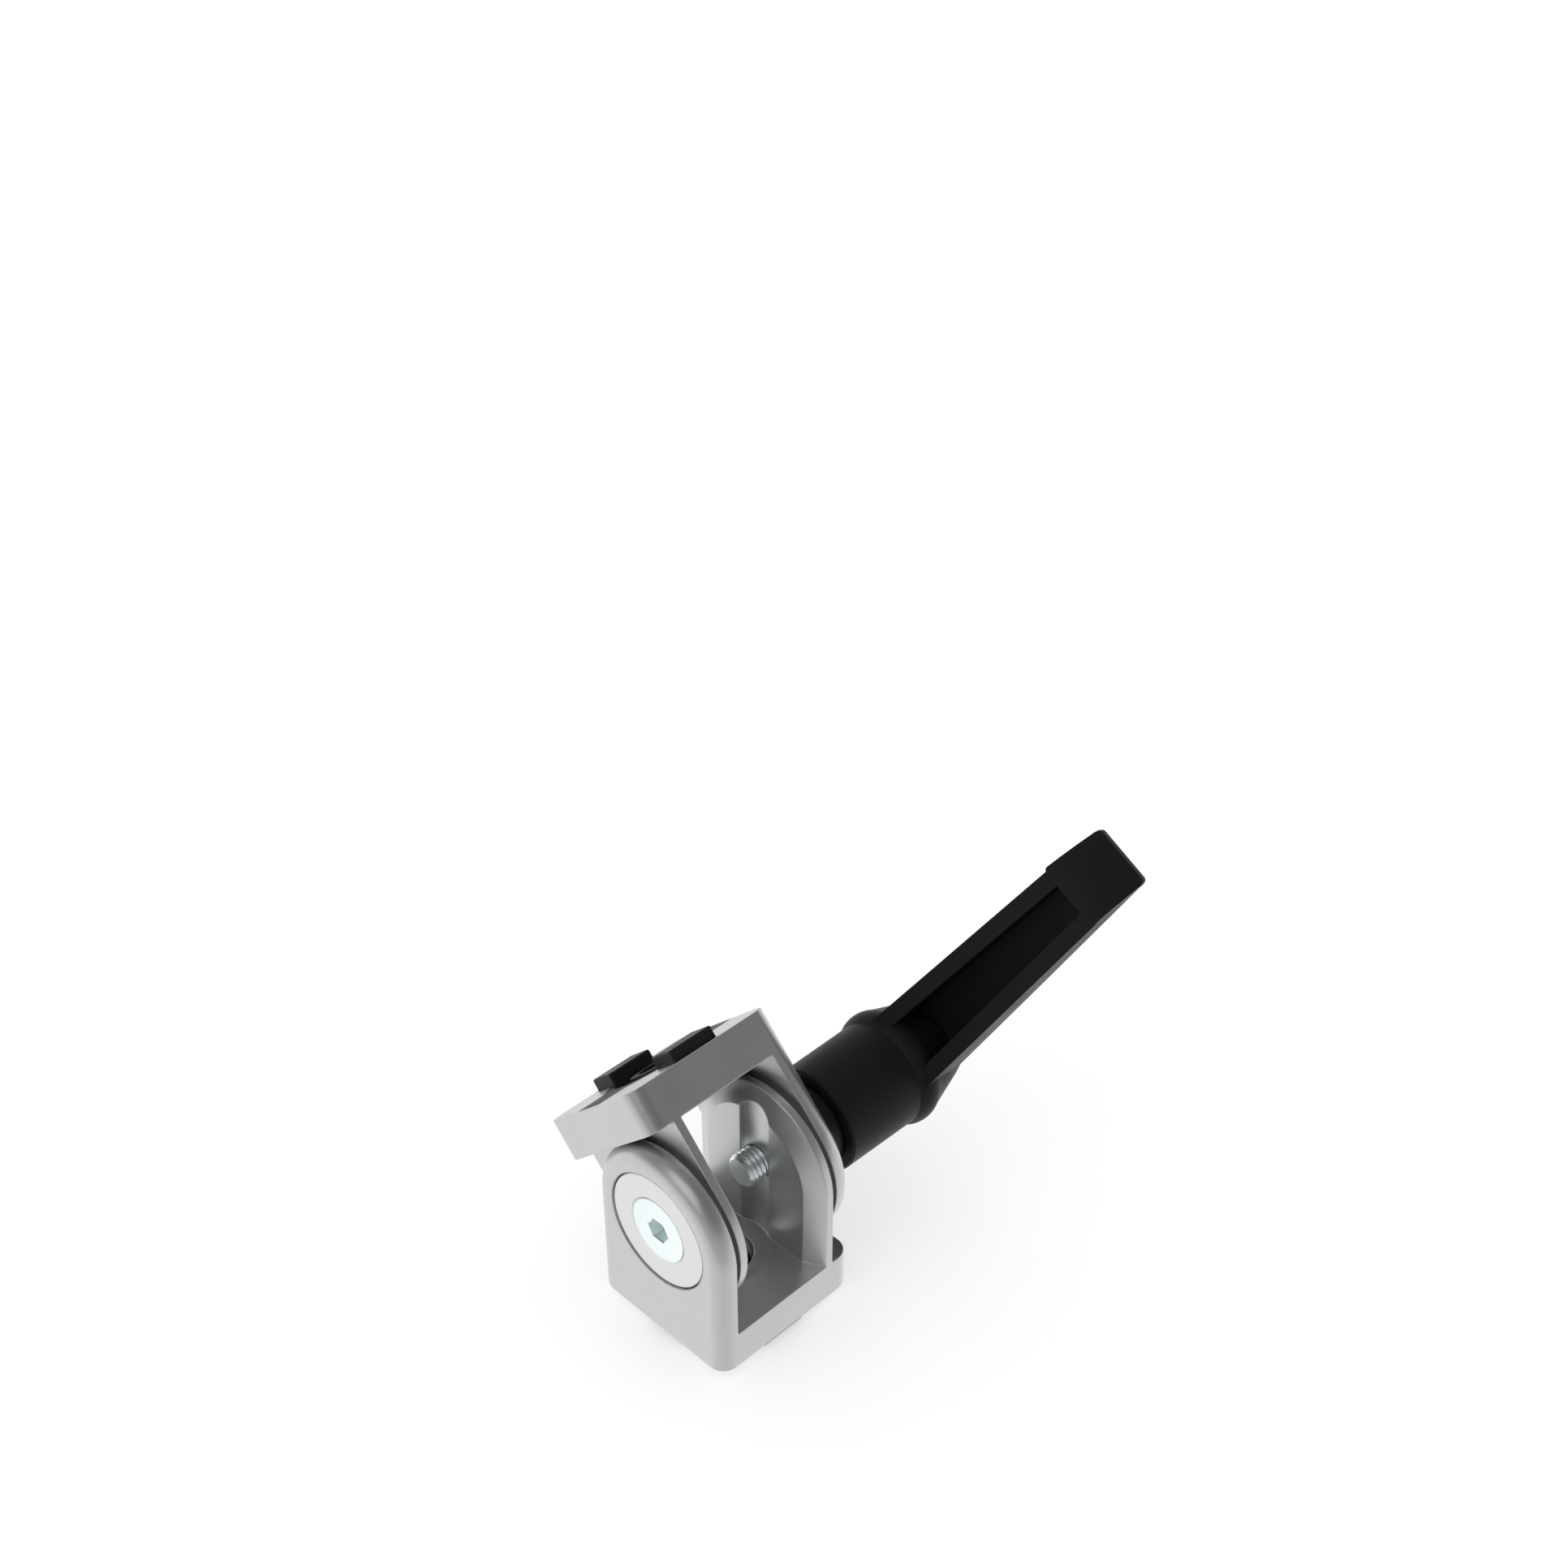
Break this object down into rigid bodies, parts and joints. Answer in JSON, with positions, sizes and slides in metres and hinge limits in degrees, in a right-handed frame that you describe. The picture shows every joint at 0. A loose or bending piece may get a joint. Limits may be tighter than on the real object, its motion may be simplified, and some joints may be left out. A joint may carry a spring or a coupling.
{
  "type": "profile pivot joint",
  "caption": "Pivoting joint for slotted 40 mm square profiles: two die-cast forks on one friction-held hinge, clamped by a black adjustable lever.",
  "frame": {"origin": "centre of the lower half's mounting face", "axes": "+X along the pivot axis towards the lever, +Z out of the lower half's mounting face towards the pivot"},
  "size_m": [0.1056, 0.08, 0.102],
  "materials": {
    "die_cast": "satin",
    "black_plastic": "matte",
    "friction": "matte",
    "white_bush": "satin",
    "zinc_steel": "zinc-plated",
    "black_steel": "black oxide",
    "spring_steel": "bright",
    "black_coat": "satin powder coat"
  },
  "bodies": {
    "lower_half": {"lower_housing": "die_cast", "lower_insert": "black_plastic", "front_friction_disc": "friction", "rear_friction_disc": "friction"},
    "upper_half": {"upper_housing": "die_cast", "upper_insert": "black_plastic", "front_bush": "white_bush", "rear_bush": "white_bush", "countersunk_screw": "zinc_steel"},
    "lever_core": {"lever_stud": "zinc_steel", "lever_insert": "black_steel", "retaining_washer": "zinc_steel", "retaining_screw": "zinc_steel", "lever_spring": "spring_steel"},
    "handle": {"lever_handle": "black_coat"}
  },
  "joints": [
    {"name": "pivot", "type": "hinge", "parent": "lower_half", "child": "upper_half", "pos_m": [0, 0, 0.03025], "axis": [1, 0, 0], "range_deg": [-46.2, 133.8]},
    {"name": "clamp_turn", "type": "hinge", "parent": "lower_half", "child": "lever_core", "pos_m": [0, 0, 0.03025], "axis": [1, 0, 0], "range_deg": [0, 180]},
    {"name": "handle_pull", "type": "slide", "parent": "lever_core", "child": "handle", "axis": [1, 0, 0], "range_m": [0, 0.0038], "stiffness_N_per_m": 3000, "springref_m": -0.004, "deforming": ["lever_spring"]}
  ]
}
